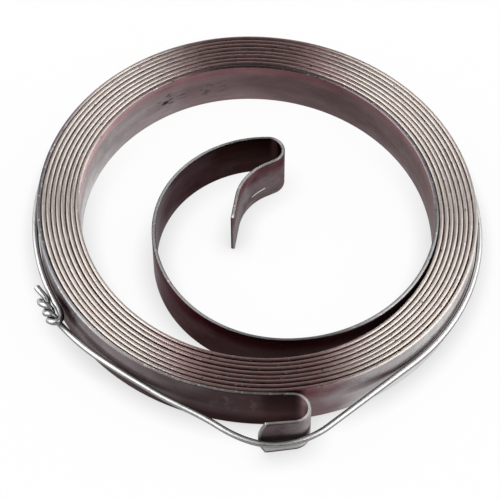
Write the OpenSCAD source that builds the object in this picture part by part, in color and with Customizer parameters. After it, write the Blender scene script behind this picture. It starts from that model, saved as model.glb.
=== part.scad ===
// Recoil starter spring: a flat steel strip wound into a coil, with a hook at each end,
// held wound by a twisted wire tie. Millimetres, +Z up along the coil axis.
// The origin is on the coil axis in the plane the lower strip edge rests on.

/* [Strip] */
// Width of the strip, which is the height of the lying coil
strip_width = 10; // [7:0.5:14]
// Thickness of the strip
strip_thickness = 0.7; // [0.5:0.05:0.9]

/* [Coil] */
// Overall width across the wound turns
coil_width = 80.7; // [70:0.1:100]
// Number of wound turns
turns = 9; // [5:1:10]
// Clear gap between one turn and the next
turn_gap = 0.185; // [0.12:0.005:0.4]
// Offset of the arc centres from the axis, which makes the coil slightly oval
coil_oval = 1.7; // [0.2:0.1:2.5]

/* [Inner loop] */
// Radius of the first loop quarter as a share of the innermost turn
loop_share = 0.8; // [0.7:0.01:0.9]
// How much tighter each of the next two loop quarters is
loop_step = 3.5; // [2:0.1:5]

/* [Inner hook] */
// Straight lead between the loop and the inner bend
inner_lead = 0.3; // [0.2:0.1:3]
// Inside radius of the inner bend
inner_bend = 2.45; // [1.5:0.05:3]
// Angle the strip turns through in the inner bend
inner_turn = 153; // [130:1:165]
// Straight part of the tail after the bend
tail_start = 2; // [1:0.1:4]
// Radius of the curved part of the tail
tail_radius = 9.8; // [7:0.1:14]
// Angle of the curved part of the tail
tail_turn = 54; // [30:1:70]
// Straight end of the tail
tail_end = 5.1; // [2:0.1:6]

/* [Outer hook] */
// Straight lead between the coil and the outer bend
lead_length = 4.3; // [2:0.1:8]
// Inside radius of the outer bend
outer_bend = 2.45; // [2:0.05:4]
// Angle the strip turns through in the outer bend
outer_turn = 175; // [160:1:178]
// Length of the leg, to the middle of its rounded end
leg_length = 6.4; // [5:0.1:9]
// Radius the end of the leg is cut to
end_radius = 10; // [8:0.5:14]

/* [Wire tie] */
// Diameter of the tie wire
wire_diameter = 1.15; // [0.8:0.05:1.4]
// Clear gap between the wire and the strip
wire_clearance = 0.12; // [0.1:0.01:0.2]
// Mean height of the wire as a share of the strip width
tie_share = 0.42; // [0.4:0.01:0.6]
// Rise of the wire toward the outer hook as a share of the strip width
tie_rise_share = 0.09; // [0:0.01:0.12]
// Radius of the wire's bow round the outer hook
bow_radius = 15.5; // [13:0.5:18]
// Place of the twist round the coil, in degrees from +X
twist_angle = 211; // [208:1:216]
// Length of the twisted end
twist_length = 8.1; // [7:0.1:9]
// Full turns in the twist
twist_turns = 1.35; // [1.2:0.05:1.6]

/* [Hidden] */
$fn = 72;
// Hair by which a run set at a free angle is slimmer, and how far it laps into the piece before it
hair = 0.002;
lap = 0.05;

pitch = strip_thickness + turn_gap;
quarter = pitch / 4;
// Four arc centres, one to each quarter of the coil
cx = coil_oval + quarter / 2;
cy = coil_oval - quarter / 2;
centre = [[cx, cy], [-cx, cy], [-cx, -cy], [cx, -cy]];
// Middle radius of the outermost turn where it starts at the front
coil_radius = (coil_width - strip_thickness) / 2 + cx + quarter;
// Change of radius from the start of a turn to each of its quarters
drop = [0, 2 * coil_oval + quarter, 2 * quarter, 2 * coil_oval + 3 * quarter];
first_angle = [180, 90, 0, 270];

// Inner loop: three quarter arcs that carry on from the innermost turn
last_radius = coil_radius - pitch * (turns - 1) - drop[2];
loop_1 = last_radius * loop_share;
loop_2 = loop_1 - loop_step;
loop_3 = loop_2 - loop_step;
loop_x1 = last_radius - cx - loop_1;
loop_y2 = loop_2 - loop_1 - cy;
loop_x3 = loop_x1 - loop_2 + loop_3;

// Inner hook
inner_radius = inner_bend + strip_thickness / 2;
inner_centre = [loop_x3 + inner_lead, loop_y2 + loop_3 - inner_radius];

// Outer hook
outer_radius = outer_bend + strip_thickness / 2;
outer_centre = [cx + lead_length, cy - coil_radius - outer_radius];

// Wire: its middle line runs this far outside the middle of the strip
wire_radius = wire_diameter / 2;
wire_off = strip_thickness / 2 + wire_clearance + wire_radius;
wire_sides = 8;
half_width = coil_width / 2;
leg_angle = 90 - outer_turn;
// Bow: a circle that holds the outer bend and the tip of the leg, both grown by the wire's offset
hook_wire = outer_radius + wire_off;
bow_reach = bow_radius - hook_wire;
bow_lean = atan2(leg_length, hook_wire)
    - acos((bow_radius * bow_radius - hook_wire * hook_wire - leg_length * leg_length - bow_reach * bow_reach)
        / (2 * bow_reach * norm([hook_wire, leg_length])));
bow_centre = on(outer_centre, -bow_reach, leg_angle - bow_lean);
// Straight spans that touch both the bow and the coil
right_reach = bow_centre - centre[3];
right_heading = atan2(right_reach[1], right_reach[0])
    - asin((coil_wire(3) - bow_radius) / norm(right_reach));
left_reach = centre[0] - bow_centre;
left_heading = atan2(left_reach[1], left_reach[0])
    + asin((coil_wire(0) - bow_radius) / norm(left_reach));
// Twisted end: the two strands wind round an axis that leans a little toward the coil
strand_open = 1.1;
strand_radius = strand_open * wire_radius;
stand_off = 1.83;
twist_lean = 7;
twist_base = on(centre[0], coil_wire(0) + stand_off * wire_diameter, twist_angle);
twist_heading = twist_angle - 90 - twist_lean;
twist_along = [cos(twist_heading), sin(twist_heading), 0];
twist_side = [-sin(twist_heading), cos(twist_heading), 0];
short_angle = 21;
long_angle = short_angle + 180;
short_share = 0.64;
long_share = 0.93;
// One end leaves the coil here and turns back into the twist; all in wire diameters
leave = 2.05;
turn_near = 1.22;
turn_far = 4.67;
turn_rise = 0.9;
start_angle = twist_angle - arc_angle(leave * wire_diameter);
// The other end dips under that turn on its way to the twist; in wire diameters
dip_before = 4.05;
dip_depth = 2.7;
dip_angle = twist_angle + arc_angle(dip_before * wire_diameter);
end_angle = left_heading + 90;

// Point at an angle on a circle
function on(c, r, a) = [c[0] + r * cos(a), c[1] + r * sin(a)];
// Height of the wire over a point of the plan
function tie_z(p) = strip_width * (tie_share - tie_rise_share * p[1] / half_width);
// Wire points along an arc of the plan; its last one is left to the next arc, or kept before a span
function sweep(c, r, from, to, last = 0) =
    let (n = ceil(abs(to - from) / ring_angle))
        [for (i = [0 : n - 1 + last]) lift(on(c, r, from + (to - from) * i / n))];
function lift(p) = [p[0], p[1], tie_z(p)];
function coil_wire(q) = coil_radius - drop[q] + wire_off;
// Angle of a length of wire laid round the coil at the twist
function arc_angle(length) = length / coil_wire(0) * 180 / PI;
// Point of one strand of the twist, a share of its length from the base; the winding slackens to the tip
function strand(s, side) =
    let (a = side - 360 * twist_turns * s * (2 - s))
        lift(twist_base) + twist_along * twist_length * s
        + strand_radius * (cos(a) * twist_side + sin(a) * [0, 0, 1]);
// Point of a cubic curve
function curve(p, t) = pow(1 - t, 3) * p[0] + 3 * t * pow(1 - t, 2) * p[1]
    + 3 * t * t * (1 - t) * p[2] + t * t * t * p[3];
function tangent(a) = [sin(a), -cos(a), 0];
function unit(v) = v / norm(v);

// Rings of the wire along a strand and a free curve, and their step round an arc
strand_rings = 32;
curve_rings = 16;
ring_angle = 5;
start_point = lift(on(centre[0], coil_wire(0), start_angle));
end_point = lift(on(centre[0], coil_wire(0), end_angle));
dip_point = lift(on(centre[0], coil_wire(0), dip_angle)) - [0, 0, dip_depth * wire_diameter];
join_length = norm(end_point - start_point) / 2;
turn_lift = [0, 0, turn_rise * wire_diameter];
pin = [
    strand(0, short_angle),
    strand(0, short_angle) - turn_near * wire_diameter * twist_along + turn_lift,
    start_point - turn_far * wire_diameter * tangent(start_angle) + turn_lift,
    start_point
];
join = [
    end_point,
    end_point + join_length * tangent(end_angle),
    dip_point,
    strand(0, long_angle)
];
wire_path = concat(
    [for (i = [strand_rings : -1 : 1]) strand(short_share * i / strand_rings, short_angle)],
    [for (i = [0 : curve_rings - 1]) curve(pin, i / curve_rings)],
    sweep(centre[0], coil_wire(0), start_angle, 180),
    sweep(centre[1], coil_wire(1), 180, 90),
    sweep(centre[2], coil_wire(2), 90, 0),
    sweep(centre[3], coil_wire(3), 0, right_heading + 90, last = 1),
    sweep(bow_centre, bow_radius, right_heading + 90, left_heading - 270, last = 1),
    [for (i = [0 : curve_rings - 1]) curve(join, i / curve_rings)],
    [for (i = [0 : strand_rings]) strand(long_share * i / strand_rings, long_angle)]
);
rings = len(wire_path);

// Cross-section of the strip, standing on its lower edge; k hairs slimmer all round
module section(k = 0) {
    x = strip_thickness / 2 - k * hair;
    translate([-x, k * hair])
        square([2 * x, strip_width - 2 * k * hair]);
}

// Strip bent to an arc
module bend(c, r, from, angle, k = 0) {
    translate([c[0], c[1], 0])
        rotate_extrude(angle = angle, start = from)
            translate([r, 0])
                section(k);
}

// Straight strip along +X
module run(length, k = 0) {
    rotate([90, 0, 90])
        linear_extrude(height = length)
            section(k);
}

// Wound turns; the last one stops a quarter short, where the inner loop leaves it
module coil() {
    for (turn = [0 : turns - 1])
        for (q = [0 : turn < turns - 1 ? 3 : 2])
            bend(centre[q], coil_radius - pitch * turn - drop[q], first_angle[q], 90);
}

module inner_end() {
    bend([loop_x1, -cy], loop_1, 270, 90);
    bend([loop_x1, loop_y2], loop_2, 180, 90);
    bend([loop_x3, loop_y2], loop_3, 90, 90);
    translate([loop_x3, loop_y2 + loop_3, 0])
        run(inner_lead);
    bend(inner_centre, inner_radius, 90 - inner_turn, inner_turn);
    translate([inner_centre[0], inner_centre[1], 0])
        rotate([0, 0, 90 - inner_turn])
            translate([inner_radius, 0, 0])
                tail();
}

// Tail of the inner hook, drawn down -Y from the end of the bend
module tail() {
    translate([0, lap, 0])
        rotate([0, 0, -90])
            run(tail_start + lap, 1);
    bend([tail_radius, -tail_start], tail_radius, 180, tail_turn, 1);
    translate([tail_radius, -tail_start, 0])
        rotate([0, 0, tail_turn])
            translate([-tail_radius, lap, 0])
                rotate([0, 0, -90])
                    run(tail_end + lap, 2);
}

module outer_end() {
    translate([cx, cy - coil_radius, 0])
        run(lead_length);
    bend(outer_centre, outer_radius, leg_angle, outer_turn);
    translate([outer_centre[0], outer_centre[1], 0])
        rotate([0, 0, leg_angle])
            translate([outer_radius, 0, 0])
                leg();
}

// Leg of the outer hook, drawn down -Y from the end of the bend, its end cut to a radius
module leg() {
    intersection() {
        translate([0, lap, 0])
            rotate([0, 0, -90])
                run(leg_length + lap, 1);
        translate([-strip_thickness, end_radius - leg_length, strip_width / 2])
            rotate([0, 90, 0])
                cylinder(r = end_radius, h = 2 * strip_thickness);
    }
}

module spring_strip() {
    color([0.45, 0.41, 0.41])
        union() {
            coil();
            inner_end();
            outer_end();
        }
}

// Round wire carried along its middle line
module tie_wire() {
    along = [for (i = [0 : rings - 1]) unit(wire_path[min(i + 1, rings - 1)] - wire_path[max(i - 1, 0)])];
    side = [for (v = along) unit(cross([0, 0, 1], v))];
    points = [
        for (i = [0 : rings - 1])
            for (j = [0 : wire_sides - 1])
                wire_path[i]
                    + wire_radius * cos(360 * j / wire_sides) * side[i]
                    + wire_radius * sin(360 * j / wire_sides) * cross(along[i], side[i])
    ];
    walls = [
        for (i = [0 : rings - 2])
            for (j = [0 : wire_sides - 1])
                let (a = i * wire_sides + j, b = i * wire_sides + (j + 1) % wire_sides)
                    each [[a, a + wire_sides, b], [b, a + wire_sides, b + wire_sides]]
    ];
    ends = [
        [for (j = [0 : wire_sides - 1]) j],
        [for (j = [wire_sides - 1 : -1 : 0]) (rings - 1) * wire_sides + j]
    ];
    color([0.72, 0.73, 0.74])
        polyhedron(points = points, faces = concat(walls, ends));
}

spring_strip();
tie_wire();
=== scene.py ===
"""Looks of a recoil starter spring: a wound steel strip with a hook at each end, held wound by a wire tie."""
import math

import bpy
import numpy as np
from mathutils import Matrix, Vector


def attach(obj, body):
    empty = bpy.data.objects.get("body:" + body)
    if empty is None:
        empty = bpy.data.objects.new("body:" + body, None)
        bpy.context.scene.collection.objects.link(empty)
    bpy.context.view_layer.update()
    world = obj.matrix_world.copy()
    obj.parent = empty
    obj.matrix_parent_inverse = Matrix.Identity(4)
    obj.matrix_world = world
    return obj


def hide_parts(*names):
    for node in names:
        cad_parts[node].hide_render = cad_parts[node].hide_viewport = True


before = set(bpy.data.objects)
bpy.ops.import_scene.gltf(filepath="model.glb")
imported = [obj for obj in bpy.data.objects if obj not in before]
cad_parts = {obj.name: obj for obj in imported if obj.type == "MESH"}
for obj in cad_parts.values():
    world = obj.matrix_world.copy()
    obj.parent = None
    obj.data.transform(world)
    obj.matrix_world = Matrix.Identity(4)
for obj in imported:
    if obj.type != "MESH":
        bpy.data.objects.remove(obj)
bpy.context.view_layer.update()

MM = 0.001

# Strip, in millimetres as all sizes below
STRIP_WIDTH = 10.0
STRIP_THICKNESS = 0.7
EDGE_ROUND = 0.29
END_ROUND = 0.1
SWAY = 0.02
SWAY_WAVES = (31, 53)
RISE = 0.03
RISE_WAVES = (37, 23)

# Coil: quarter arcs about four centres, each turn one pitch inside the last
COIL_WIDTH = 80.7
TURNS = 9
TURN_GAP = 0.185
COIL_OVAL = 1.7
PITCH = STRIP_THICKNESS + TURN_GAP
QUARTER = PITCH / 4
CENTRE_X = COIL_OVAL + QUARTER / 2
CENTRE_Y = COIL_OVAL - QUARTER / 2
CENTRES = ((CENTRE_X, CENTRE_Y), (-CENTRE_X, CENTRE_Y), (-CENTRE_X, -CENTRE_Y), (CENTRE_X, -CENTRE_Y))
COIL_RADIUS = (COIL_WIDTH - STRIP_THICKNESS) / 2 + CENTRE_X + QUARTER
DROP = (0, 2 * COIL_OVAL + QUARTER, 2 * QUARTER, 2 * COIL_OVAL + 3 * QUARTER)

# Inner loop and inner hook
LOOP_SHARE = 0.8
LOOP_STEP = 3.5
INNER_LEAD = 0.3
INNER_RADIUS = 2.45 + STRIP_THICKNESS / 2
INNER_TURN = 153
TAIL_START = 2.0
TAIL_RADIUS = 9.8
TAIL_TURN = 54
TAIL_END = 5.1

# Outer hook; it stands a little proud of the turns, and its foot leans in under its top
LEAD_LENGTH = 4.3
OUTER_RADIUS = 2.45 + STRIP_THICKNESS / 2
OUTER_TURN = 175
LEG_LENGTH = 6.4
LEG_END_RADIUS = 10.0
LEAD_LIFT = 0.18
LIFT_DIES = (20, 62)
LEG_TILT = 0.25
BEND_TILT = 0.5
TILT_GROWS = (0, 8)
TILT_DIES = (8, 17)
OUTER_CENTRE = (CENTRE_X + LEAD_LENGTH, CENTRE_Y - COIL_RADIUS - OUTER_RADIUS)

# Wire tie
WIRE_RADIUS = 0.575
WIRE_CLEARANCE = 0.12
WIRE_OFF = STRIP_THICKNESS / 2 + WIRE_CLEARANCE + WIRE_RADIUS
TIE_SHARE = 0.42
TIE_RISE_SHARE = 0.09
BOW_RADIUS = 15.5
CUT_SHARE = 0.72
CUT_LENGTH = 0.3 * WIRE_RADIUS

# Twisted ends of the wire; one turns back into the twist, the other dips under that turn
TWIST_ANGLE = 211
TWIST_LENGTH = 8.1
TWIST_TURNS = 1.35
TWIST_LEAN = 7
STRAND_RADIUS = 1.1 * WIRE_RADIUS
STAND_OFF = 3.66 * WIRE_RADIUS
SHORT_SIDE = 21
SHORT_SHARE = 0.64
LONG_SHARE = 0.93
LEAVE = 4.1 * WIRE_RADIUS
TURN_NEAR = 2.44 * WIRE_RADIUS
TURN_FAR = 9.34 * WIRE_RADIUS
TURN_RISE = 1.8 * WIRE_RADIUS
DIP_BEFORE = 8.1 * WIRE_RADIUS
DIP_DEPTH = 5.4 * WIRE_RADIUS
BEND_EASE = 0.25

# Slack side of the wire: the span left of the hook is drawn in toward the coil about this place
SPAN_PULL = 0.88
SPAN_MIDDLE = -7.6
SPAN_HALF = 11.0

# Outside of the strip from its outer end, as linear colours: hook, lead, left wall, back, right wall, front
OUTER_FACE = (
    (0, (0.300, 0.205, 0.215)),
    (6, (0.240, 0.165, 0.172)),
    (12, (0.100, 0.063, 0.066)),
    (19, (0.105, 0.064, 0.066)),
    (31, (0.105, 0.072, 0.075)),
    (43, (0.190, 0.160, 0.165)),
    (57, (0.295, 0.267, 0.270)),
    (90, (0.225, 0.212, 0.216)),
    (210, (0.640, 0.630, 0.630)),
    (236, (0.800, 0.800, 0.800)),
    (243, (0.520, 0.510, 0.510)),
    (252, (0.470, 0.440, 0.450)),
    (264, (0.210, 0.147, 0.152)),
    (275, (0.300, 0.205, 0.210)),
    (300, (0.200, 0.140, 0.145)),
)
# Outside of the loop from the inner end: tail, bend, loop and the first wound turn
LOOP_OUTSIDE = (
    (0, (0.258, 0.228, 0.232)),
    (7, (0.250, 0.222, 0.226)),
    (11, (0.155, 0.118, 0.123)),
    (50, (0.172, 0.135, 0.147)),
    (61, (0.176, 0.137, 0.148)),
    (68, (0.098, 0.061, 0.068)),
    (79, (0.042, 0.025, 0.026)),
    (95, (0.050, 0.030, 0.031)),
    (105, (0.100, 0.060, 0.062)),
    (130, (0.120, 0.075, 0.078)),
)
# Inside of the strip from the inner end: oxide in the loop, brown back wall, pale left wall
LOOP_INSIDE = (
    (0, (0.027, 0.015, 0.014)),
    (32, (0.027, 0.015, 0.014)),
    (44, (0.072, 0.049, 0.054)),
    (52, (0.170, 0.143, 0.150)),
    (142, (0.234, 0.173, 0.174)),
    (156, (0.170, 0.133, 0.134)),
    (173, (0.100, 0.070, 0.072)),
    (186, (0.118, 0.078, 0.081)),
    (204, (0.187, 0.134, 0.138)),
    (220, (0.325, 0.283, 0.288)),
    (234, (0.570, 0.530, 0.530)),
    (246, (0.680, 0.670, 0.670)),
    (290, (0.900, 0.870, 0.840)),
)
# Face of the outer leg that looks away from the coil, from the outer end
LEG_FACE = (
    (0, (0.165, 0.124, 0.131)),
    (4, (0.185, 0.142, 0.150)),
    (7, (0.270, 0.232, 0.237)),
    (13, (0.370, 0.335, 0.340)),
    (16, (0.200, 0.150, 0.152)),
)
# Slit edges from the outer end and from the inner end, both running into bare beige
BEIGE_EDGE = (0.76, 0.68, 0.63)
OUTER_EDGE = (
    (0, (0.78, 0.77, 0.77)),
    (7, (0.72, 0.70, 0.70)),
    (12, (0.66, 0.64, 0.64)),
    (17, (0.42, 0.38, 0.38)),
    (40, (0.46, 0.42, 0.42)),
    (52, (0.62, 0.60, 0.60)),
    (66, (0.42, 0.42, 0.44)),
    (84, (0.28, 0.275, 0.295)),
    (104, (0.34, 0.28, 0.295)),
    (120, BEIGE_EDGE),
)
INNER_EDGE = (
    (0, (0.52, 0.52, 0.52)),
    (118, (0.48, 0.47, 0.48)),
    (142, (0.34, 0.32, 0.335)),
    (158, (0.32, 0.28, 0.30)),
    (176, (0.27, 0.20, 0.21)),
    (212, (0.36, 0.28, 0.28)),
    (236, BEIGE_EDGE),
)

# Colours laid over the faces and edges; those over 1 only lighten
LEG_END = (0.300, 0.285, 0.285)
# painted shade: darkens the outer leg just above the wire
LEG_SHADE = (0.05, 0.04, 0.04)
# painted reflection of the white floor on the leg's foot below the wire
LEG_FOOT_REFLECTION = (0.62, 0.59, 0.59)
# painted shade on the outer shoulder of the front and back edges
SHOULDER = (0.50, 0.36, 0.36)
TINT_BAND = (1.55, 1.08, 1.13)
TINT_PATCH = (0.62, 0.40, 0.42)
# painted shade: the wire's shadow and dark reflection along the outer wall
WIRE_SHADE = (0.50, 0.44, 0.45)
# painted light: lifts the lead in the hook's pocket
POCKET_PAINTED_LIGHT = (1.45, 1.40, 1.40)
SMUDGE = (0.150, 0.128, 0.132)
SCUFF = (0.035, 0.028, 0.032)
SCRATCH = (0.80, 0.78, 0.77)
# painted reflection of the floor on the inner walls' feet
LOW_WALL_REFLECTION = (1.25, 1.30, 1.30)
DARK_FOOT = (0.46, 0.38, 0.39)
# painted reflection of the floor on the walls' feet
PALE_FOOT_REFLECTION = (0.95, 0.95, 0.95)
# near-black: a spot under the twist, and painted shade along the outer leg's lower edge
NEAR_BLACK = (0.022, 0.010, 0.012)
# painted shade: the rosy cast of the front and back edges where they lie in shade
ROSY_EDGE_SHADE = (0.88, 0.62, 0.60)
# bright bare nicks, and painted highlights at the strip's tips
NICK_AND_TIP_HIGHLIGHT = (0.95, 0.93, 0.90)
PIT = (0.10, 0.07, 0.07)

# Where those lie, none to full: OUTER and INNER from that end, HIGH above the lower edge, SIDE off the axis
ENDS_OUTER, ENDS_INNER = (60, 45), (120, 95)
LOOP_INNER = (300, 200)
LEG_OUTER = (24, 14)
SPOTS_OUTER, SPOTS_INNER = (13, 9), (27, 17)
WALL_INNER = (120, 150)
BAND_HIGH, BAND_OUTER, BAND_INNER = (6.8, 9.6), (60, 90), (120, 165)
PATCH_HIGH, PATCH_OUTER = (5.5, 8.5), (250, 262)
LOW_HIGH = (4.2, 1.5)
DARK_OUTER = (78, 58)
PALE_LEFT_HIGH, PALE_LEFT_INNER = (5.4, 3.0), (226, 240)
PALE_RIGHT_HIGH, PALE_RIGHT_OUTER = (3.6, 1.2), ((200, 225), (262, 246))
WIRE_SHADE_HIGH = ((4.4, 5.4), (7.3, 6.3))
WIRE_SHADE_LEFT_OUTER, WIRE_SHADE_RIGHT_OUTER = ((34, 44), (82, 68)), ((216, 226), (260, 250))
POCKET_OUTER = ((10, 14), (21.5, 18.5))
HOOK_OUTER = (13, 8)
HOOK_SHADE_HIGH, HOOK_FOOT_HIGH, HOOK_RIM_HIGH = (6.8, 4.6), (3.2, 2.0), (0.8, 0.4)
CUT_OUTER = (0.55, 0.3)
TIP_FROM_END = (0.9, 0.4)
EDGE_OUTER = (150, 135)
ROSY_SIDE, ROSY_OUTER, ROSY_INNER = (21, 9), (120, 150), (190, 230)
NICKED_OUTER = ((12, 17), (50, 42))
DRY_OUTER = (60, 30)
SHEEN_SIDE = (18, 31)
WORN_CROWN = (0.72, 0.95)
SHOULDER_CROWN = (0.96, 0.75)

# Spots and scratch: middle and half size, or start and end, along and up the strip
TWIST_DARK_SPOT = ((62.3, 6.1), (4.0, 3.0))
HOOK_SMUDGE = ((25.5, 6.6), (7.5, 2.6))
BACK_SCUFFS = (((208, 4.6), (4.4, 2.1)), ((199, 4.2), (3.2, 2.1)))
TAIL_SCRATCH = ((10.6, 2.7), (14.4, 3.0))
SCRATCH_WIDTH = 0.2
SCRATCH_CORE = 0.4
SCRATCH_BODY = 0.7

# Length and breadth of the features of each noise
BROAD_SIZE = (14, 7)
MOTTLE_SIZE = (1.6, 1.6)
ROLLING_SIZE = (26, 0.3)
BLOTCH_SIZE = (2.4, 2.0)
CLOUD_SIZE = (9, 2.6)
SMEAR_SIZE = (1.5, 2.6)
SCUFF_SIZE = (2.6, 0.5)
NICK_SIZE = (0.55, 0.4)
PIT_SIZE = (0.8, 0.33)
ZINC_LINE_SIZE = (6, 0.16)
ZINC_DULL_SIZE = (5, 3)
FLECK_SIZE = (0.7, 0.5)
CLOUD_STRETCH = (3.0, 0.12, 1.0)

# How far noise moves and varies the finishes
RAGGED_ENDS = 26
WAVY_MARKS = (-1.5, 1.5)
SPOT_RAGGED = (-0.5, 0.5)
SPOT_RIM = (1.2, 0.4)
ROLLED = (0.72, 1.28)
MOTTLED_FACE = (0.85, 1.15)
MOTTLED_EDGE = (0.8, 1.2)
SPOTTED = (0.45, 1.55)
CLOUDED = (0.62, 1.36)
SMEARED = (0.48, 0.76)
SCUFFED = (0.50, 0.64)
BAND_SHARE = 0.85
NICK_SHARES = (0.09, 0.55)
PIT_SHARE = 0.022
PIT_STRENGTH = 1.6
FLECK_SHARE = 0.08
RIM_STEEPNESS = 2.4
FACE_ROUGH = (0.2, 0.36)
DRY_ROUGH = 0.2
EDGE_ROUGH = (0.31, 0.42)
ENDS_ROUGH = 0.36
SIDE_ROUGH = 0.09
STEEL_SHEEN = (0.46, 0.42, 0.42)
MOTTLE_RELIEF = 0.6
RELIEF_DEPTH = 0.01

# Zinc of the wire, by how far a place on its round looks up or to the coil: painted shade on the flanks and the
# coil side
ZINC_DULL = (0.64, 0.64, 0.64)
ZINC_BRIGHT = (0.80, 0.80, 0.79)
ZINC_FLANK_SHADE = (0.22, 0.22, 0.23)
ZINC_COIL_SIDE_SHADE = (0.05, 0.045, 0.045)
ZINC_FLECK = (0.28, 0.28, 0.29)
CROWN_TOPWARD = (0.2, 0.85)
SHADE_COILWARD = (0.25, 0.75)
ZINC_DRAWN = (0.8, 1.15)
ZINC_ROUGH = (0.32, 0.46)

# Studio and camera, in metres, watts and pixels of the photograph
FLOOR_HALF = 3.0
FLOOR_PAPER = (0.92, 0.92, 0.92)
FLOOR_LIFT = 0.95
FOOT_SHADOW = 0.44
FOOT_REACH = 0.0045
FOOT_FRONT = (0.026, -0.004)
FOOT_OUTSIDE = (0.034, 0.038)
ROOM = (0.04, 0.04, 0.04)
SOFTBOXES = (
    ("left_box", (-0.66, 0.0, 0.50), (1.11, 0.95), 7.6),
    ("right_box", (0.66, 0.01, 0.50), (1.19, 0.95), 8.0),
    ("back_box", (0.0, 1.0, 0.45), (1.2, 0.5), 1.10),
)
VIEW_HEIGHT = 54.085
VIEW_DISTANCE = 0.42
PHOTO_SIDE = 500
FOCAL_PX = 2293.2
AXIS_AT = (257.9, 205.1)
SENSOR_MM = 36


def place(points):
    """Millimetres to metres."""
    return np.asarray(points, float) * MM


def sleeve(name, grid, along, about, marks, material):
    """A closed tube of rings: quads join each ring to the next, and strips between its two halves cap each end.

    grid is rings by points by xyz. along and about give the flat map: distance down the path and round the
    section.
    """
    rings, points, _ = grid.shape
    i, j = np.meshgrid(np.arange(rings - 1), np.arange(points), indexing="ij")
    this, following = i * points, (j + 1) % points
    after = this + points
    wall = np.stack((this + j, after + j, after + following, this + following), -1)
    flat = np.stack(
        (
            np.stack((along[i], about[j]), -1),
            np.stack((along[i + 1], about[j]), -1),
            np.stack((along[i + 1], about[j + 1]), -1),
            np.stack((along[i], about[j + 1]), -1),
        ),
        -2,
    )
    k = np.arange(points // 2 - 1)
    cap = np.stack((k, k + 1, points - 2 - k, points - 1 - k), -1)
    cap_flat = np.stack((np.zeros(cap.shape), about[cap]), -1)
    faces = np.concatenate((wall.reshape(-1, 4), cap, cap[:, ::-1] + (rings - 1) * points))
    corners = np.concatenate(
        (flat.reshape(-1, 4, 2), cap_flat + (along[0], 0), cap_flat[:, ::-1] + (along[-1], 0))
    )
    mesh = bpy.data.meshes.new(name)
    mesh.vertices.add(rings * points)
    mesh.vertices.foreach_set("co", place(grid).ravel())
    mesh.loops.add(faces.size)
    mesh.loops.foreach_set("vertex_index", faces.ravel().astype(np.int32))
    mesh.polygons.add(len(faces))
    mesh.polygons.foreach_set("loop_start", np.arange(0, faces.size, 4, dtype=np.int32))
    mesh.update(calc_edges=True)
    mesh.polygons.foreach_set("use_smooth", np.ones(len(faces), bool))
    mesh.uv_layers.new(name="flat_mm").data.foreach_set("uv", corners.ravel())
    for mark, values in marks.items():
        layer = mesh.attributes.new(mark, "FLOAT", "POINT")
        layer.data.foreach_set("value", np.broadcast_to(values, (rings, points)).ravel().astype(np.float32))
    mesh.materials.append(material)
    piece = bpy.data.objects.new(name, mesh)
    bpy.context.scene.collection.objects.link(piece)
    return piece


# Strip
def bend(radius, turn):
    """Length and curvature of a bend through turn degrees, left turns positive."""
    return radius * math.radians(abs(turn)), math.copysign(1 / radius, turn)


def strip_runs():
    """Length and curvature of each run of the strip, from the outer leg's tip in to the tail's."""
    wound = [(turn, quarter) for turn in range(TURNS) for quarter in range(4)][:-1]
    radii = [COIL_RADIUS - PITCH * turn - DROP[quarter] for turn, quarter in wound]
    loop = radii[-1] * LOOP_SHARE
    radii += [loop, loop - LOOP_STEP, loop - 2 * LOOP_STEP]
    outer = [(LEG_LENGTH, 0), bend(OUTER_RADIUS, OUTER_TURN), (LEAD_LENGTH, 0)]
    inner = [(INNER_LEAD, 0), bend(INNER_RADIUS, -INNER_TURN)]
    tail = [(TAIL_START, 0), bend(TAIL_RADIUS, TAIL_TURN), (TAIL_END, 0)]
    return np.array(outer + [bend(radius, -90) for radius in radii] + inner + tail)


def ring_places(runs, turn_step=2.0, straight_step=1.5):
    """Distances of the rings along the strip: even in each run, one to every two degrees of a bend."""
    length, curve = runs.T
    turned = np.degrees(length * np.abs(curve))
    count = np.ceil(np.where(curve == 0, length / straight_step, turned / turn_step)).astype(int)
    begin = np.concatenate(([0], np.cumsum(length)[:-1]))
    return np.concatenate([b + l * np.arange(n) / n for b, l, n in zip(begin, length, count)])


def middle_line(runs, start, heading, at):
    """Plan points and headings at distances along the runs.

    In a bend the heading grows evenly and the point runs round a circle; in a straight run it goes on ahead.
    """
    length, curve = runs.T
    begin = np.concatenate(([0], np.cumsum(length)))[:-1]
    facing = heading + np.concatenate(([0], np.cumsum(length * curve)))[:-1]

    def reach(run, distance):
        k = curve[run]
        safe = np.where(k == 0, 1, k)
        first = facing[run]
        last = first + k * distance
        x = np.where(k == 0, distance * np.cos(first), (np.sin(last) - np.sin(first)) / safe)
        y = np.where(k == 0, distance * np.sin(first), (np.cos(first) - np.cos(last)) / safe)
        return np.stack((x, y), -1), last

    steps, _ = reach(np.arange(len(length)), length)
    corner = start + np.concatenate((np.zeros((1, 2)), np.cumsum(steps, 0)))
    run = np.clip(np.searchsorted(begin, at, side="right") - 1, 0, len(length) - 1)
    offset, turned = reach(run, at - begin[run])
    return corner[run] + offset, turned


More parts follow.
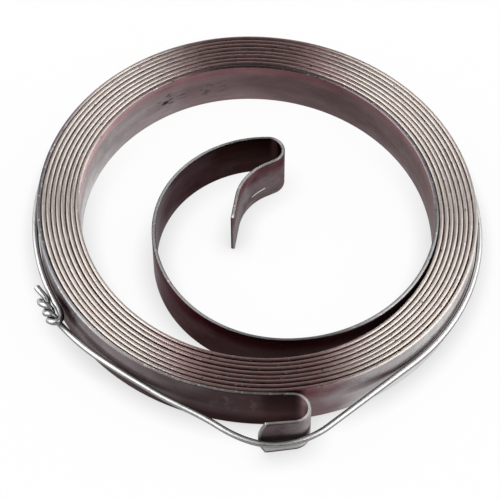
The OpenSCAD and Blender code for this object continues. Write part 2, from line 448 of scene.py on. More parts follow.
def strip_section(bow_points=6, face_points=7, face_in=0.08):
    """Section of the strip: up its left face and down its right, all four edges rounded to quarter circles.

    Gives the place across and up, and the outward normal, of each point.
    """
    bow = np.radians(np.linspace(-90, 0, bow_points))
    land = STRIP_THICKNESS / 2 - EDGE_ROUND
    margin = EDGE_ROUND + face_in
    face = np.linspace(margin, STRIP_WIDTH - margin, face_points)
    across = np.concatenate((land + EDGE_ROUND * np.cos(bow), np.full(face_points, STRIP_THICKNESS / 2)))
    across = np.concatenate((across, across[bow_points - 1 :: -1]))
    low = EDGE_ROUND + EDGE_ROUND * np.sin(bow)
    up = np.concatenate((low, face, STRIP_WIDTH - low[::-1]))
    lean = np.concatenate((np.sin(bow), np.zeros(face_points), -np.sin(bow)[::-1]))
    out = np.sqrt(1 - lean**2)
    return (
        np.concatenate((across, -across[::-1])),
        np.concatenate((up, up[::-1])),
        np.concatenate((out, -out[::-1])),
        np.concatenate((lean, lean[::-1])),
    )


def swell(value, low, high):
    """Smooth rise from 0 at low to 1 at high."""
    x = np.clip((value - low) / (high - low), 0, 1)
    return x * x * (3 - 2 * x)


def lead_lift(at):
    """Height by which the outer end stands proud of the turns, dying away along the first quarter."""
    return LEAD_LIFT * (1 - swell(at, *LIFT_DIES))


def leg_tilt(at):
    """How far the outer hook's foot leans in under its top: more at the bend, none on the lead."""
    return LEG_TILT + (BEND_TILT - LEG_TILT) * swell(at, *TILT_GROWS) - BEND_TILT * swell(at, *TILT_DIES)


def wander(at):
    """Sideways and upward wander of the strip: each the sum of two slow waves along it."""
    sway = SWAY * (np.sin(at / SWAY_WAVES[0] + 0.4) + np.sin(at / SWAY_WAVES[1] + 2))
    rise = RISE * (2 + np.sin(at / RISE_WAVES[0]) + np.sin(at / RISE_WAVES[1] + 1))
    return sway[:, None], rise[:, None]


def spring_strip(material):
    """The strip: its section carried along the middle line, the leg's end cut round and both ends eased."""
    runs = strip_runs()
    total = runs[:, 0].sum()
    ease = np.radians(np.linspace(90, 0, 4))
    ease_at, ease_in = END_ROUND * (1 - np.sin(ease)), END_ROUND * (1 - np.cos(ease))
    middle = ring_places(runs)
    middle = middle[(middle > END_ROUND) & (middle < total - END_ROUND)]
    at = np.concatenate((ease_at, middle, total - ease_at[::-1]))
    inset = np.concatenate((ease_in, np.zeros(len(middle)), ease_in[::-1]))[:, None]
    leg_heading = math.radians(180 - OUTER_TURN)
    start = np.array(OUTER_CENTRE) + OUTER_RADIUS * np.array((math.sin(leg_heading), -math.cos(leg_heading)))
    start = start - LEG_LENGTH * np.array((math.cos(leg_heading), math.sin(leg_heading)))
    plan, heading = middle_line(runs, start, leg_heading, at)
    ahead = np.stack((np.cos(heading), np.sin(heading)), -1)[:, None]
    left = np.stack((-np.sin(heading), np.cos(heading)), -1)[:, None]
    across, up, out, lean = strip_section()
    about = np.concatenate(([0], np.cumsum(np.hypot(np.diff(across), np.diff(up)))))
    about = np.append(about, about[-1] + 2 * abs(across[0]))
    across = across - inset * out
    up = up - inset * lean
    sway, rise = wander(at)
    cut = LEG_END_RADIUS - np.sqrt(LEG_END_RADIUS**2 - (up - STRIP_WIDTH / 2) ** 2)
    cut = cut * np.clip(1 - at / LEG_LENGTH, 0, 1)[:, None]
    points = plan[:, None] + (across + sway)[..., None] * left + cut[..., None] * ahead
    points[..., 1] += leg_tilt(at)[:, None] * (1 - up / STRIP_WIDTH)
    high = up + lead_lift(at)[:, None] + rise
    grid = np.concatenate((points, high[..., None]), -1)
    marks = {
        "from_outer": at[:, None],
        "from_inner": (total - at)[:, None],
        "outward": (out[None] > 0).astype(float),
        "edgeward": np.abs(lean)[None],
        "height": up,
    }
    return sleeve("wound_strip", grid, at, about, marks, material)


# Wire tie
def on_circle(centre, radius, degrees):
    """Plan points at angles on a circle."""
    angle = np.radians(degrees)
    return np.stack((centre[0] + radius * np.cos(angle), centre[1] + radius * np.sin(angle)), -1)


def facing(degrees):
    """Level direction at an angle from +X."""
    return np.array((math.cos(math.radians(degrees)), math.sin(math.radians(degrees)), 0))


def tie_height(plan):
    """Height of the wire over the plan: a plane that rises toward the outer hook."""
    return STRIP_WIDTH * (TIE_SHARE - TIE_RISE_SHARE * plan[..., 1] / (COIL_WIDTH / 2))


def raised(plan):
    """Plan points put at the height of the tie."""
    return np.concatenate((plan, tie_height(plan)[..., None]), -1)


def free_curve(p, t):
    """Cubic curve from four points."""
    t = t[:, None]
    return (1 - t) ** 3 * p[0] + 3 * t * (1 - t) ** 2 * p[1] + 3 * t * t * (1 - t) * p[2] + t**3 * p[3]


def bow_circle():
    """Centre of the wire's bow: a circle round the outer bend and the leg's tip, grown by the wire's offset."""
    hook = OUTER_RADIUS + WIRE_OFF
    reach = BOW_RADIUS - hook
    side = math.hypot(hook, LEG_LENGTH)
    spread = math.acos((BOW_RADIUS**2 - side**2 - reach**2) / (2 * reach * side))
    lean = math.degrees(math.atan2(LEG_LENGTH, hook) - spread)
    return on_circle(OUTER_CENTRE, -reach, 90 - OUTER_TURN - lean)


def touching_line(first, first_radius, second, second_radius):
    """Heading in degrees of the straight span that touches two circles on their outer sides."""
    reach = np.subtract(second, first)
    slant = math.asin((first_radius - second_radius) / np.hypot(*reach))
    return math.degrees(math.atan2(reach[1], reach[0]) - slant)


def eased_line(line, step):
    """A line taken at even steps and smoothed by a running mean with bell-shaped weights."""
    run = np.concatenate(([0], np.cumsum(np.linalg.norm(np.diff(line, axis=0), axis=1))))
    at = np.linspace(0, run[-1], int(run[-1] / step))
    line = np.stack([np.interp(at, run, line[:, axis]) for axis in range(3)], -1)
    reach = int(3 * BEND_EASE / step)
    weight = np.exp(-0.5 * (np.arange(-reach, reach + 1) * step / BEND_EASE) ** 2)
    weight = weight / weight.sum()
    before, beyond = 2 * line[0] - line[reach:0:-1], 2 * line[-1] - line[-2 : -reach - 2 : -1]
    padded = np.concatenate((before, line, beyond))
    return at, np.stack([np.convolve(padded[:, axis], weight, mode="valid") for axis in range(3)], -1)


def wire_line(step=0.15):
    """Middle line of the wire: down one strand of the twist, round the coil and the hook, and up the other.

    Each strand runs round the twist's leaning axis, slackening to its tip. The whole line is eased, and its
    slack span is then drawn in by a squared cosine.
    """
    coil = [COIL_RADIUS - drop + WIRE_OFF for drop in DROP]
    bow = bow_circle()
    right = touching_line(CENTRES[3], coil[3], bow, BOW_RADIUS)
    left = touching_line(bow, BOW_RADIUS, CENTRES[0], coil[0])
    base = raised(on_circle(CENTRES[0], coil[0] + STAND_OFF, TWIST_ANGLE))
    ahead, aside = facing(TWIST_ANGLE - 90 - TWIST_LEAN), facing(TWIST_ANGLE - TWIST_LEAN)
    above = np.array((0, 0, 1))

    def strand(share, side):
        angle = np.radians(side - 360 * TWIST_TURNS * share * (2 - share))[:, None]
        around = STRAND_RADIUS * (np.cos(angle) * aside + np.sin(angle) * above)
        return base + share[:, None] * TWIST_LENGTH * ahead + around

    share = np.linspace(0, 1, 160)
    short, long = strand(SHORT_SHARE * share, SHORT_SIDE), strand(LONG_SHARE * share, SHORT_SIDE + 180)
    leave_at = TWIST_ANGLE - math.degrees(LEAVE / coil[0])
    dip_at = TWIST_ANGLE + math.degrees(DIP_BEFORE / coil[0])
    start, dip, end = raised(on_circle(CENTRES[0], coil[0], np.array((leave_at, dip_at, left + 90))))
    join = np.linalg.norm(end - start) / 2
    turn_back = (
        short[0],
        short[0] - TURN_NEAR * ahead + TURN_RISE * above,
        start - TURN_FAR * facing(leave_at - 90) + TURN_RISE * above,
        start,
    )
    join_up = (end, end + join * facing(left), dip - DIP_DEPTH * above, long[0])
    arc = np.linspace(0, 1, 90)
    line = np.concatenate(
        (
            short[:0:-1],
            free_curve(turn_back, share[:-1]),
            raised(on_circle(CENTRES[0], coil[0], leave_at + (180 - leave_at) * arc[:-1])),
            raised(on_circle(CENTRES[1], coil[1], 180 - 90 * arc[:-1])),
            raised(on_circle(CENTRES[2], coil[2], 90 - 90 * arc[:-1])),
            raised(on_circle(CENTRES[3], coil[3], (right + 90) * arc)),
            raised(on_circle(bow, BOW_RADIUS, right + 90 + (left - 360 - right) * arc)),
            free_curve(join_up, share[:-1]),
            long,
        )
    )
    at, eased = eased_line(line, step)
    off = np.clip((eased[:, 0] - SPAN_MIDDLE) / SPAN_HALF, -1, 1)
    eased[:, 1] += SPAN_PULL * np.cos(off * math.pi / 2) ** 2 * (eased[:, 1] < 0)
    return at, eased


def tie_wire(material, sides=14):
    """The wire: a circle carried along its middle line, slimmed round a quarter circle to its cut ends."""
    at, line = wire_line()
    ahead = np.gradient(line, at, axis=0)
    ahead /= np.linalg.norm(ahead, axis=1, keepdims=True)
    side = np.cross((0, 0, 1), ahead)
    side /= np.linalg.norm(side, axis=1, keepdims=True)
    up = np.cross(ahead, side)
    angle = np.radians(360 / sides * np.arange(sides) + 180 / sides)[:, None]
    from_cut = np.clip(np.minimum(at, at[-1] - at) / CUT_LENGTH, 0, 1)
    radius = WIRE_RADIUS * (CUT_SHARE + (1 - CUT_SHARE) * np.sqrt(from_cut * (2 - from_cut)))
    circle = np.cos(angle)[None] * side[:, None] + np.sin(angle)[None] * up[:, None]
    grid = line[:, None] + radius[:, None, None] * circle
    about = np.arange(sides + 1) * 2 * math.pi * WIRE_RADIUS / sides
    inward = -line[:, :2] / np.linalg.norm(line[:, :2], axis=1, keepdims=True)
    coilward = (circle[..., :2] * inward[:, None]).sum(-1)
    marks = {"topward": circle[..., 2], "coilward": coilward}
    return sleeve("tie_wire_twist", grid, at, about, marks, material)


# Finishes
class Bench:
    """Lays shader nodes in one tree and joins their sockets."""

    def __init__(self, tree):
        self.tree = tree

    def put(self, kind, inputs=None, **settings):
        node = self.tree.nodes.new("ShaderNode" + kind)
        for name, value in settings.items():
            setattr(node, name, value)
        for name, value in (inputs or {}).items():
            if isinstance(value, bpy.types.NodeSocket):
                self.tree.links.new(value, node.inputs[name])
            else:
                node.inputs[name].default_value = value
        return node

    def maths(self, operation, a, b=0.0, clamp=False):
        return self.put("Math", {0: a, 1: b}, operation=operation, use_clamp=clamp).outputs[0]

    def add(self, a, b):
        return self.maths("ADD", a, b)

    def less(self, a, b):
        return self.maths("SUBTRACT", a, b)

    def size(self, value):
        return self.maths("ABSOLUTE", value)

    def either(self, a, b):
        """The larger of two masks."""
        return self.maths("MAXIMUM", a, b)

    def times(self, first, *others):
        """Product of masks or values."""
        for other in others:
            first = self.maths("MULTIPLY", first, other)
        return first

    def fade(self, value, ends):
        """Smooth rise from 0 at the first end to 1 at the second, or fall where the first is the larger."""
        reach = {"Value": value, "From Min": ends[0], "From Max": ends[1]}
        return self.put("MapRange", reach, interpolation_type="SMOOTHSTEP").outputs["Result"]

    def between(self, value, ends):
        """Mask that comes in over the first pair of ends and goes out over the second."""
        return self.times(self.fade(value, ends[0]), self.fade(value, ends[1]))

    def span(self, value, ends):
        """A value between 0 and 1 stretched to run from one end to the other."""
        reach = {"Value": value, "To Min": ends[0], "To Max": ends[1]}
        return self.put("MapRange", reach).outputs["Result"]

    def blend(self, share, a, b, how="MIX"):
        node = self.put("Mix", {0: share, 6: a, 7: b}, data_type="RGBA", blend_type=how)
        return node.outputs[2]

    def coat(self, mask, under, colour):
        """A colour laid over what is under it."""
        return self.blend(mask, under, (*colour, 1))

    def stain(self, mask, under, colour):
        """A colour that what is under it is multiplied by."""
        return self.blend(mask, under, (*colour, 1), "MULTIPLY")

    def vary(self, under, value, mask=1.0):
        """A colour made lighter and darker by a value."""
        return self.blend(mask, under, value, "MULTIPLY")

    def mark(self, name):
        return self.put("Attribute", attribute_name=name).outputs["Fac"]

    def object_place(self):
        return self.put("TexCoord").outputs["Object"]

    def part_of(self, place_m, axis):
        return self.put("SeparateXYZ", {0: place_m}).outputs[axis]

    def shades(self, value, stops):
        """Colour along a distance, from stops of millimetres and colour."""
        reach = stops[-1][0]
        ramp = self.put("ValToRGB", {"Fac": self.maths("DIVIDE", value, reach)})
        steps = ramp.color_ramp.elements
        for stop in stops[1:-1]:
            steps.new(stop[0] / reach)
        for step, (place_mm, colour) in zip(steps, stops):
            step.position = place_mm / reach
            step.color = (*colour, 1)
        return ramp.outputs["Color"]

    def flat(self, along, about):
        """Flat map of the piece in features of the given length and breadth in millimetres."""
        uv = self.put("UVMap", uv_map="flat_mm").outputs["UV"]
        size = {"Vector": uv, "Scale": (1 / along, 1 / about, 1)}
        return self.put("Mapping", size).outputs["Vector"]

    def noise(self, vector, detail=3.0, roughness=0.5):
        settings = {"Vector": vector, "Scale": 1.0, "Detail": detail, "Roughness": roughness}
        return self.put("TexNoise", settings).outputs["Fac"]

    def join(self, socket, shader, name):
        self.tree.links.new(socket, shader.inputs[name])


def new_group(name, inputs, outputs):
    """An empty node group with named sockets, and its two ends; a Place is a vector and the rest are values."""
    tree = bpy.data.node_groups.new(name, "ShaderNodeTree")
    for socket in inputs:
        kind = "NodeSocketVector" if socket == "Place" else "NodeSocketFloat"
        tree.interface.new_socket(socket, in_out="INPUT", socket_type=kind)
    for socket in outputs:
        tree.interface.new_socket(socket, in_out="OUTPUT", socket_type="NodeSocketFloat")
    return tree, tree.nodes.new("NodeGroupInput").outputs, tree.nodes.new("NodeGroupOutput").inputs


def speck_group():
    """Small nicks: the middles of a share of the cells of a random cell pattern."""
    tree, given, result = new_group("nicks", ("Place", "Share", "Size"), ("Mask",))
    bench = Bench(tree)
    cells = bench.put("TexVoronoi", {"Vector": given["Place"], "Scale": 1.0})
    lot = bench.put("SeparateColor", {"Color": cells.outputs["Color"]}).outputs["Red"]
    chosen = bench.maths("LESS_THAN", lot, given["Share"])
    away = bench.maths("DIVIDE", cells.outputs["Distance"], given["Size"])
    near = bench.maths("SUBTRACT", 1.0, away, clamp=True)
    tree.links.new(bench.maths("MULTIPLY", chosen, near, clamp=True), result["Mask"])
    return tree


def drawn_group():
    """Lines left by rolling or drawing: noise stretched along the piece, with a cloudier noise under it."""
    tree, given, result = new_group("drawn_lines", ("Place", "Cloud"), ("Lines", "Height"))
    bench = Bench(tree)
    fine = bench.noise(given["Place"], detail=3.0, roughness=0.6)
    stretch = {0: given["Place"], 1: CLOUD_STRETCH}
    cloudy = bench.put("VectorMath", stretch, operation="MULTIPLY").outputs[0]
    cloud = bench.noise(cloudy, detail=4.0, roughness=0.6)
    tree.links.new(bench.add(fine, bench.times(bench.less(cloud, 0.5), given["Cloud"])), result["Lines"])
    tree.links.new(fine, result["Height"])
    return tree


def new_material(name):
    """An empty material, its bench and its one shader."""
    material = bpy.data.materials.new(name)
    material.use_nodes = True
    material.node_tree.nodes.clear()
    bench = Bench(material.node_tree)
    shader = bench.put("BsdfPrincipled")
    bench.put("OutputMaterial", {"Surface": shader.outputs["BSDF"]})
    return material, bench, shader


class StripPlace:
    """Where on the strip a point lies, with the noises that its marks share."""

    def __init__(self, bench, drawn):
        self.from_outer, self.from_inner = bench.mark("from_outer"), bench.mark("from_inner")
        self.outward, self.edgeward = bench.mark("outward"), bench.mark("edgeward")
        self.height = bench.mark("height")
        self.inward = bench.less(1.0, self.outward)
        self.broad = bench.noise(bench.flat(*BROAD_SIZE), detail=3.0, roughness=0.55)
        self.mottle = bench.noise(bench.flat(*MOTTLE_SIZE), detail=4.0, roughness=0.6)
        ragged = bench.times(bench.less(self.broad, 0.5), RAGGED_ENDS)
        self.outer_at = bench.add(self.from_outer, ragged)
        self.inner_at = bench.add(self.from_inner, ragged)
        self.wavy_height = bench.add(self.height, bench.span(self.broad, WAVY_MARKS))
        self.aside = bench.size(bench.part_of(bench.object_place(), "X"))
        rolled = {"Place": bench.flat(*ROLLING_SIZE), "Cloud": 0.8}
        self.lines = bench.put("Group", rolled, node_tree=drawn).outputs
        self.ends = bench.either(
            bench.fade(self.from_outer, ENDS_OUTER), bench.fade(self.from_inner, ENDS_INNER)
        )
        rim = bench.maths("MULTIPLY", self.edgeward, RIM_STEEPNESS, clamp=True)
        crown = bench.less(bench.fade(self.edgeward, WORN_CROWN), rim)
        self.rim = bench.add(rim, bench.times(self.ends, crown))


def oval_spot(bench, at, along, spot):
    """Mask of a spot on a face: an oval about a middle, along and up the strip, with a ragged rim."""
    middle, half = spot
    x = bench.maths("DIVIDE", bench.less(along, middle[0]), half[0])
    y = bench.maths("DIVIDE", bench.less(at.height, middle[1]), half[1])
    away = bench.maths("SQRT", bench.add(bench.times(x, x), bench.times(y, y)))
    return bench.fade(bench.add(away, bench.span(at.mottle, SPOT_RAGGED)), SPOT_RIM)


def scratch_line(bench, at, along, start, end, width):
    """Mask of a straight scratch: near the line between two places on a face, and between its ends."""
    slope = (end[1] - start[1]) / (end[0] - start[0])
    line = bench.add(bench.times(bench.less(along, start[0]), slope), start[1])
    off = bench.size(bench.less(at.height, line))
    half = abs(end[0] - start[0]) / 2
    beyond = bench.size(bench.less(along, (start[0] + end[0]) / 2))
    near = bench.fade(off, (width, width * SCRATCH_CORE))
    return bench.times(near, bench.fade(beyond, (half, half * SCRATCH_BODY)))


def bare_faces(bench, at):
    """Faces, from the oxide at each end to the grey of the wound turns, with rolling lines and blotches."""
    outside = bench.shades(at.outer_at, OUTER_FACE)
    loop_outside = bench.shades(at.inner_at, LOOP_OUTSIDE)
    outside = bench.blend(bench.fade(at.from_inner, LOOP_INNER), outside, loop_outside)
    leg_face = bench.shades(at.from_outer, LEG_FACE)
    inside = bench.shades(at.inner_at, LOOP_INSIDE)
    inside = bench.blend(bench.fade(at.from_outer, LEG_OUTER), inside, leg_face)
    face = bench.blend(at.outward, inside, outside)
    rolled = bench.span(at.lines["Lines"], ROLLED)
    face = bench.vary(face, bench.times(rolled, bench.span(at.mottle, MOTTLED_FACE)))
    blotch = bench.noise(bench.flat(*BLOTCH_SIZE), detail=4.0, roughness=0.65)
    near_ends = bench.either(bench.fade(at.from_inner, SPOTS_INNER), bench.fade(at.from_outer, SPOTS_OUTER))
    face = bench.vary(face, bench.span(blotch, SPOTTED), near_ends)
    cloud = bench.noise(bench.flat(*CLOUD_SIZE), detail=4.0, roughness=0.6)
    wall = bench.times(at.inward, bench.fade(at.from_inner, WALL_INNER))
    return bench.vary(face, bench.span(cloud, CLOUDED), wall)


def heat_tints_and_foot_reflections(bench, at, face):
    """Rosy band along the inner wall's top and rosy patch by the front; a painted floor reflection pales the
    walls' feet, and the outer wall's foot is darker near the outer end.
    """
    band = bench.times(bench.fade(at.wavy_height, BAND_HIGH), at.inward, BAND_SHARE)
    band = bench.times(band, bench.fade(at.from_outer, BAND_OUTER), bench.fade(at.from_inner, BAND_INNER))
    face = bench.stain(band, face, TINT_BAND)
    patch = bench.times(bench.fade(at.wavy_height, PATCH_HIGH), bench.fade(at.outer_at, PATCH_OUTER))
    face = bench.stain(bench.times(patch, at.outward), face, TINT_PATCH)
    low = bench.fade(at.wavy_height, LOW_HIGH)
    wall = bench.times(at.inward, bench.fade(at.from_inner, WALL_INNER))
    # painted floor reflection on the inner walls' feet
    face = bench.stain(bench.times(low, wall), face, LOW_WALL_REFLECTION)
    dark = bench.times(low, at.outward, bench.fade(at.from_outer, DARK_OUTER))
    face = bench.stain(dark, face, DARK_FOOT)
    # painted floor reflection on the left inner wall's foot
    left = bench.times(bench.fade(at.wavy_height, PALE_LEFT_HIGH), bench.fade(at.from_inner, PALE_LEFT_INNER))
    face = bench.coat(bench.times(left, at.inward), face, PALE_FOOT_REFLECTION)
    # painted floor reflection on the right outer wall's foot
    right = bench.times(
        bench.between(at.from_outer, PALE_RIGHT_OUTER), at.outward, bench.fade(at.wavy_height, PALE_RIGHT_HIGH)
    )
    return bench.coat(right, face, PALE_FOOT_REFLECTION)


def wire_shade_and_pocket_light(bench, at, face):
    """Painted shade and reflection of the wire as a dark line on the outer wall, and painted light on a paler
    stretch of the lead in the hook's pocket.
    """
    runs = bench.add(
        bench.between(at.from_outer, WIRE_SHADE_LEFT_OUTER), bench.between(at.from_outer, WIRE_SHADE_RIGHT_OUTER)
    )
    # painted shade and reflection of the wire on the outer wall
    wire_shaded = bench.times(bench.between(at.height, WIRE_SHADE_HIGH), runs, at.outward)
    face = bench.stain(wire_shaded, face, WIRE_SHADE)
    # painted light in the hook's pocket
    pocket = bench.times(bench.between(at.from_outer, POCKET_OUTER), at.outward)
    return bench.stain(pocket, face, POCKET_PAINTED_LIGHT)


def handling_marks_and_twist_spot(bench, at, face):
    """Near-black spot under the twist, smudges by the hook, scuffs on the back wall and a scratch on the tail.
    """
    twist_spot = oval_spot(bench, at, at.from_outer, TWIST_DARK_SPOT)
    face = bench.coat(bench.times(at.outward, twist_spot), face, NEAR_BLACK)
    smear = bench.fade(bench.noise(bench.flat(*SMEAR_SIZE), detail=2.0), SMEARED)
    smear = bench.times(smear, oval_spot(bench, at, at.from_outer, HOOK_SMUDGE), at.outward)
    face = bench.coat(smear, face, SMUDGE)
    scuff = bench.fade(bench.noise(bench.flat(*SCUFF_SIZE), detail=2.0), SCUFFED)
    first, second = (oval_spot(bench, at, at.from_inner, spot) for spot in BACK_SCUFFS)
    face = bench.coat(bench.times(bench.either(first, second), scuff, at.inward), face, SCUFF)
    scratch = scratch_line(bench, at, at.from_inner, *TAIL_SCRATCH, SCRATCH_WIDTH)
    return bench.coat(bench.times(at.outward, scratch), face, SCRATCH)


def leg_marks(bench, at, face):
    """Outer leg: painted shade over the wire, a painted floor reflection at its foot, painted shade along its
    lower edge and grey on its cut end.
    """
    leg = bench.times(bench.fade(at.from_outer, HOOK_OUTER), at.inward)
    # painted shade over the wire
    face = bench.stain(bench.times(bench.fade(at.height, HOOK_SHADE_HIGH), leg), face, LEG_SHADE)
    # painted floor reflection at the leg's foot
    face = bench.coat(bench.times(bench.fade(at.height, HOOK_FOOT_HIGH), leg), face, LEG_FOOT_REFLECTION)
    # painted shade along the leg's lower edge
    face = bench.coat(bench.times(bench.fade(at.height, HOOK_RIM_HIGH), leg), face, NEAR_BLACK)
    return bench.coat(bench.fade(at.from_outer, CUT_OUTER), face, LEG_END)


def slit_edges(bench, at, nicks):
    """Slit edges: bare beige, grey toward the ends, with bright nicks and dark pits; at front and back a
    painted rosy shade tint and painted shade on the outer shoulder, and painted highlights at the tips.
    """
    from_inner, from_outer = bench.shades(at.inner_at, INNER_EDGE), bench.shades(at.from_outer, OUTER_EDGE)
    edge = bench.blend(bench.fade(at.from_outer, EDGE_OUTER), from_inner, from_outer)
    # painted rosy shade tint at front and back
    rosy = bench.fade(at.aside, np.multiply(ROSY_SIDE, MM))
    rosy = bench.times(rosy, bench.fade(at.from_outer, ROSY_OUTER), bench.fade(at.from_inner, ROSY_INNER))
    edge = bench.coat(rosy, edge, ROSY_EDGE_SHADE)
    # painted shade on the outer shoulder
    shoulder = bench.times(bench.fade(at.edgeward, SHOULDER_CROWN), at.outward, rosy)
    edge = bench.stain(shoulder, edge, SHOULDER)
    edge = bench.vary(edge, bench.span(at.mottle, MOTTLED_EDGE))
    often = bench.span(bench.between(at.from_outer, NICKED_OUTER), NICK_SHARES)
    nick = {"Place": bench.flat(*NICK_SIZE), "Share": often, "Size": 0.6}
    nick = bench.put("Group", nick, node_tree=nicks).outputs["Mask"]
    # painted highlights at the tips
    tips = bench.either(bench.fade(at.from_outer, TIP_FROM_END), bench.fade(at.from_inner, TIP_FROM_END))
    edge = bench.coat(bench.either(bench.times(nick, at.rim), tips), edge, NICK_AND_TIP_HIGHLIGHT)
    pit = {"Place": bench.flat(*PIT_SIZE), "Share": PIT_SHARE, "Size": 0.5}
    pit = bench.put("Group", pit, node_tree=nicks).outputs["Mask"]
    return bench.coat(bench.maths("MULTIPLY", pit, PIT_STRENGTH, clamp=True), edge, PIT)


def strip_roughness(bench, at):
    """Satin faces, drier by the outer end, and slit edges rougher at both ends and at the sides."""
    dry = bench.times(bench.fade(at.from_outer, DRY_OUTER), DRY_ROUGH)
    face = bench.add(bench.span(at.mottle, FACE_ROUGH), dry)
    edge = bench.add(bench.span(at.mottle, EDGE_ROUGH), bench.times(at.ends, ENDS_ROUGH))
    sideways = bench.fade(at.aside, np.multiply(SHEEN_SIDE, MM))
    edge = bench.add(edge, bench.times(sideways, SIDE_ROUGH))
    return bench.blend(at.rim, face, edge)


def steel_strip(nicks, drawn):
    """Rolled spring steel: grey faces that darken to brown oxide at the annealed ends, and pale slit edges.

    Heat tints, rolling lines, smudges and bright nicks lie over them, with painted shade, painted highlights
    and painted floor reflections.
    """
    material, bench, shader = new_material("steel_strip")
    at = StripPlace(bench, drawn)
    face = heat_tints_and_foot_reflections(bench, at, bare_faces(bench, at))
    face = handling_marks_and_twist_spot(bench, at, wire_shade_and_pocket_light(bench, at, face))
    face = leg_marks(bench, at, face)
    bench.join(bench.blend(at.rim, face, slit_edges(bench, at, nicks)), shader, "Base Color")
    bench.join(strip_roughness(bench, at), shader, "Roughness")
    shader.inputs["Metallic"].default_value = 1.0
    shader.inputs["Specular Tint"].default_value = (*STEEL_SHEEN, 1)
    shader.inputs["Anisotropic"].default_value = 0.9
    shader.inputs["Anisotropic Rotation"].default_value = 0.25
    along = bench.put("Tangent", direction_type="UV_MAP", uv_map="flat_mm")
    bench.join(along.outputs["Tangent"], shader, "Tangent")
    relief = bench.add(at.lines["Height"], bench.times(at.mottle, MOTTLE_RELIEF))
    bump = bench.put("Bump", {"Height": relief, "Strength": 0.25, "Distance": RELIEF_DEPTH * MM})
    bench.join(bump.outputs["Normal"], shader, "Normal")
    return material


def wire_zinc(nicks, drawn):
    """Galvanised wire: bright zinc with drawing lines, duller patches and dark flecks, and painted shade on its
    flanks and coil side.
    """
    material, bench, shader = new_material("wire_zinc")
    drawn_along = {"Place": bench.flat(*ZINC_LINE_SIZE), "Cloud": 1.0}
    lines = bench.put("Group", drawn_along, node_tree=drawn).outputs
    fleck = {"Place": bench.flat(*FLECK_SIZE), "Share": FLECK_SHARE, "Size": 0.5}
    fleck = bench.put("Group", fleck, node_tree=nicks).outputs["Mask"]
    dull = bench.noise(bench.flat(*ZINC_DULL_SIZE), detail=3.0, roughness=0.6)
    colour = bench.blend(dull, (*ZINC_DULL, 1), (*ZINC_BRIGHT, 1))
    # painted shade on the wire's flanks
    colour = bench.blend(bench.fade(bench.mark("topward"), CROWN_TOPWARD), (*ZINC_FLANK_SHADE, 1), colour)
    # painted shade on the wire's coil side
    colour = bench.coat(bench.fade(bench.mark("coilward"), SHADE_COILWARD), colour, ZINC_COIL_SIDE_SHADE)
    colour = bench.vary(colour, bench.span(lines["Lines"], ZINC_DRAWN))
    bench.join(bench.coat(fleck, colour, ZINC_FLECK), shader, "Base Color")
    bench.join(bench.span(dull, ZINC_ROUGH), shader, "Roughness")
    shader.inputs["Metallic"].default_value = 1.0
    bump = bench.put("Bump", {"Height": lines["Height"], "Strength": 0.2, "Distance": RELIEF_DEPTH * MM})
    bench.join(bump.outputs["Normal"], shader, "Normal")
    return material


# Stage
def floor_white():
    """Pale paper that glows white to the camera and in the steel, and is darker close under the part.

    Inside the coil only the front is darkened.
    """
    material = bpy.data.materials.new("floor_white")
    material.use_nodes = True
    material.node_tree.nodes.clear()
    bench = Bench(material.node_tree)
    paper = bench.put("BsdfDiffuse", {"Color": (*FLOOR_PAPER, 1)})
    ray = bench.put("LightPath").outputs
    seen = bench.either(ray["Is Camera Ray"], ray["Is Glossy Ray"])
    open_sky = bench.put("AmbientOcclusion", {"Distance": FOOT_REACH}, samples=16).outputs["AO"]
    place_m = bench.object_place()
    from_axis = bench.put("VectorMath", {0: place_m}, operation="LENGTH").outputs["Value"]
    front = bench.fade(bench.part_of(place_m, "Y"), FOOT_FRONT)
    shaded = bench.either(front, bench.fade(from_axis, FOOT_OUTSIDE))
    shade = bench.times(bench.less(1.0, open_sky), shaded, FOOT_SHADOW)
    white = bench.put("Emission", {"Color": (1, 1, 1, 1), "Strength": bench.less(1.0, shade)})
    share = bench.times(seen, FLOOR_LIFT)
    both = bench.put("MixShader", {0: share, 1: paper.outputs["BSDF"], 2: white.outputs["Emission"]})
    bench.put("OutputMaterial", {"Surface": both.outputs["Shader"]})
    return material


def studio_floor():
    """A wide flat floor."""
    half = FLOOR_HALF
    corners = [(-half, -half, 0), (half, -half, 0), (half, half, 0), (-half, half, 0)]
    mesh = bpy.data.meshes.new("floor")
    mesh.from_pydata(corners, [], [(0, 1, 2, 3)])
    mesh.materials.append(floor_white())
    floor = bpy.data.objects.new("floor", mesh)
    bpy.context.scene.collection.objects.link(floor)


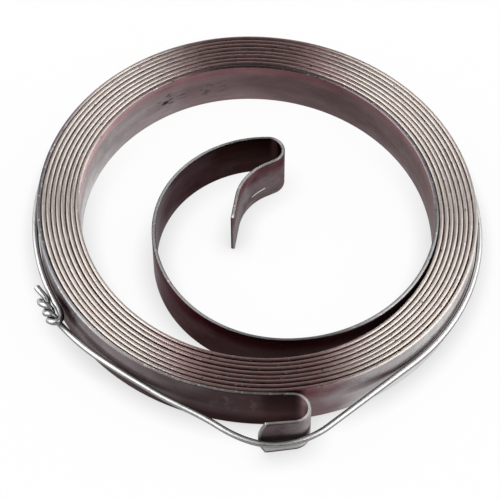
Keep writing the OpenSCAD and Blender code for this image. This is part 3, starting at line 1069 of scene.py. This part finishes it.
def softbox(name, place_m, size, power):
    """An oblong area lamp turned to the middle of the coil."""
    lamp = bpy.data.lights.new(name, "AREA")
    lamp.shape = "RECTANGLE"
    lamp.size, lamp.size_y = size
    lamp.energy = power
    box = bpy.data.objects.new(name, lamp)
    box.location = place_m
    box.rotation_euler = (-Vector(place_m)).to_track_quat("-Z", "Y").to_euler()
    bpy.context.scene.collection.objects.link(box)


def studio_light():
    """Two side boxes and a faint back one, which leave the edges at the front and back darker."""
    for name, place_m, size, power in SOFTBOXES:
        softbox(name, place_m, size, power)
    world = bpy.data.worlds.new("room")
    world.use_nodes = True
    world.node_tree.nodes["Background"].inputs["Color"].default_value = (*ROOM, 1)
    bpy.context.scene.world = world


def photo_camera():
    """Camera in front and above, aimed so that the coil's axis falls where the photograph has it."""
    lift = math.radians(VIEW_HEIGHT)
    ahead = Vector((0, math.cos(lift), -math.sin(lift)))
    right = Vector((1, 0, 0))
    up = right.cross(ahead)
    place_m = Vector((0, 0, STRIP_WIDTH * MM)) - ahead * VIEW_DISTANCE
    across_px, down_px = AXIS_AT[0] - PHOTO_SIDE / 2, AXIS_AT[1] - PHOTO_SIDE / 2
    aim = (ahead - right * across_px / FOCAL_PX + up * down_px / FOCAL_PX).normalized()
    level = aim.cross(up).normalized()
    turned = Matrix((level, level.cross(aim), -aim)).transposed()
    data = bpy.data.cameras.new("photo_camera")
    data.sensor_width = SENSOR_MM
    data.lens = FOCAL_PX / PHOTO_SIDE * SENSOR_MM
    data.clip_start = 0.01
    camera = bpy.data.objects.new("photo_camera", data)
    camera.matrix_world = Matrix.Translation(place_m) @ turned.to_4x4()
    bpy.context.scene.collection.objects.link(camera)
    bpy.context.scene.camera = camera


nick_marks, drawn_marks = speck_group(), drawn_group()
strip = spring_strip(steel_strip(nick_marks, drawn_marks))
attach(strip, "root")
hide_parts("spring_strip")
wire = tie_wire(wire_zinc(nick_marks, drawn_marks))
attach(wire, "root")
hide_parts("tie_wire")
studio_floor()
studio_light()
photo_camera()
bpy.context.scene.view_settings.view_transform = "Standard"
